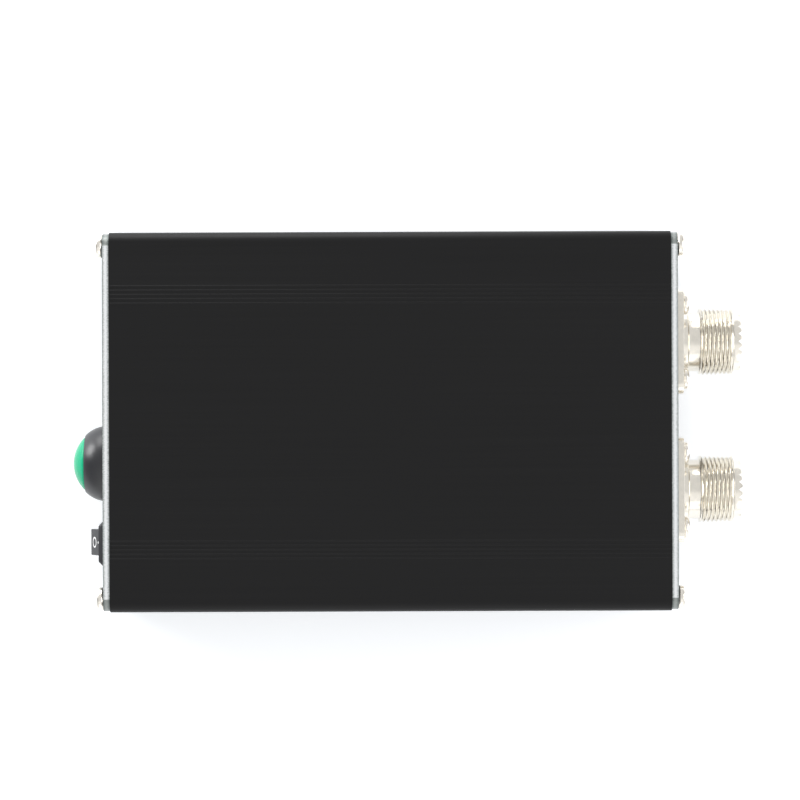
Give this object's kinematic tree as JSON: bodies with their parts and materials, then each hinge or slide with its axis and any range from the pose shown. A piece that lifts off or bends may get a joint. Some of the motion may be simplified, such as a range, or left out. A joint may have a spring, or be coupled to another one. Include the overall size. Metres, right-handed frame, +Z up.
{
  "type": "antenna tuner",
  "caption": "Compact automatic antenna tuner in a split aluminium case with a tune button, power rocker, display window and threaded coaxial sockets.",
  "frame": {"origin": "centre of the case's flat underside", "axes": "+Z up out of the ribbed top face; the control panel faces -Y and the socket panel faces +Y; +X is to the right when facing the control panel"},
  "size_m": [0.088, 0.1576, 0.0382],
  "materials": {
    "anodised_case": "satin black anodised extrusion with fine lengthwise draw lines",
    "anodised_panel": "matt black anodised plate with bare machined edges",
    "nickel_screws": "bright nickel plate",
    "nickel_nuts": "nickel-plated steel",
    "socket_nickel": "warm nickel plate over brass",
    "socket_insulation": "cream PTFE",
    "contact_brass": "bright contact brass",
    "tinned_metal": "tinned or spring steel",
    "window_acrylic": "smoked clear acrylic",
    "display_cell": "dark glass",
    "blue_board": "solder mask",
    "green_board": "solder mask",
    "green_cap": "polished green plastic",
    "black_gloss": "polished black plastic",
    "black_plastic": "moulded black plastic",
    "rocker_plastic": "satin dark plastic with white markings",
    "white_plastic": "moulded plastic",
    "wire_insulation": "flexible wire insulation",
    "copper_wire": "enamelled copper",
    "iron_powder": "coated iron powder",
    "ferrite": "ferrite",
    "coax_stub": "coaxial stub jacket",
    "ceramic_caps": "dipped ceramic",
    "chip_epoxy": "moulded epoxy",
    "capacitor_sleeve": "sleeved can"
  },
  "bodies": {
    "case": {"top_shell": "anodised_case", "bottom_shell": "anodised_case", "front_panel": "anodised_panel", "rear_panel": "anodised_panel", "front_panel_screws": "nickel_screws", "rear_panel_screws": "nickel_screws", "display_window": "window_acrylic", "display_glass": "display_cell", "display_board": "blue_board", "display_spacers": "nickel_screws", "display_screws": "nickel_screws", "display_cable": "wire_insulation", "button_body": "black_gloss", "button_spring": "tinned_metal", "button_base": "black_plastic", "button_terminals": "contact_brass", "button_nut": "nickel_nuts", "button_wires": "wire_insulation", "rocker_housing": "black_plastic", "rocker_terminals": "contact_brass", "rocker_wires": "wire_insulation", "input_socket_shell": "socket_nickel", "input_socket_insulator": "socket_insulation", "input_socket_contact": "contact_brass", "antenna_socket_shell": "socket_nickel", "antenna_socket_insulator": "socket_insulation", "antenna_socket_contact": "contact_brass", "socket_screws": "nickel_screws", "socket_nuts": "nickel_nuts", "socket_ground_lugs": "nickel_nuts", "socket_wires": "copper_wire", "jack_body": "black_plastic", "jack_pin": "tinned_metal", "jack_nut": "nickel_nuts", "jack_wires": "wire_insulation", "main_board": "green_board", "relays": "white_plastic", "relay_leads": "tinned_metal", "toroid_cores": "iron_powder", "toroid_windings": "copper_wire", "air_coils": "copper_wire", "tuning_capacitors": "ceramic_caps", "coupler_cores": "ferrite", "coupler_windings": "copper_wire", "coupler_lines": "coax_stub", "microcontroller": "chip_epoxy", "relay_drivers": "chip_epoxy", "voltage_regulator": "chip_epoxy", "supply_capacitors": "capacitor_sleeve", "board_headers": "black_plastic"},
    "tune_button": {"button_cap": "green_cap", "button_plunger": "white_plastic"},
    "power_rocker": {"rocker_lever": "rocker_plastic", "rocker_plunger": "contact_brass"},
    "contact_bar": {"rocker_contact": "contact_brass"}
  },
  "joints": [
    {"name": "button_press", "type": "slide", "parent": "case", "child": "tune_button", "axis": [0, 1, 0], "range_m": [0, 0.0025], "stiffness_N_per_m": 900, "springref_m": -0.0012, "deforming": ["button_spring"]},
    {"name": "rocker_tilt", "type": "hinge", "parent": "case", "child": "power_rocker", "pos_m": [0.0285, -0.066, 0.019], "axis": [1, 0, 0], "range_deg": [0, 28]},
    {"name": "contact_rock", "type": "hinge", "parent": "case", "child": "contact_bar", "pos_m": [0.0285, -0.0603, 0.019], "axis": [1, 0, 0], "range_deg": [-22.4, 0]}
  ],
  "couplings": [
    {"joint": "contact_rock", "follows": "rocker_tilt", "ratio": -0.8}
  ]
}
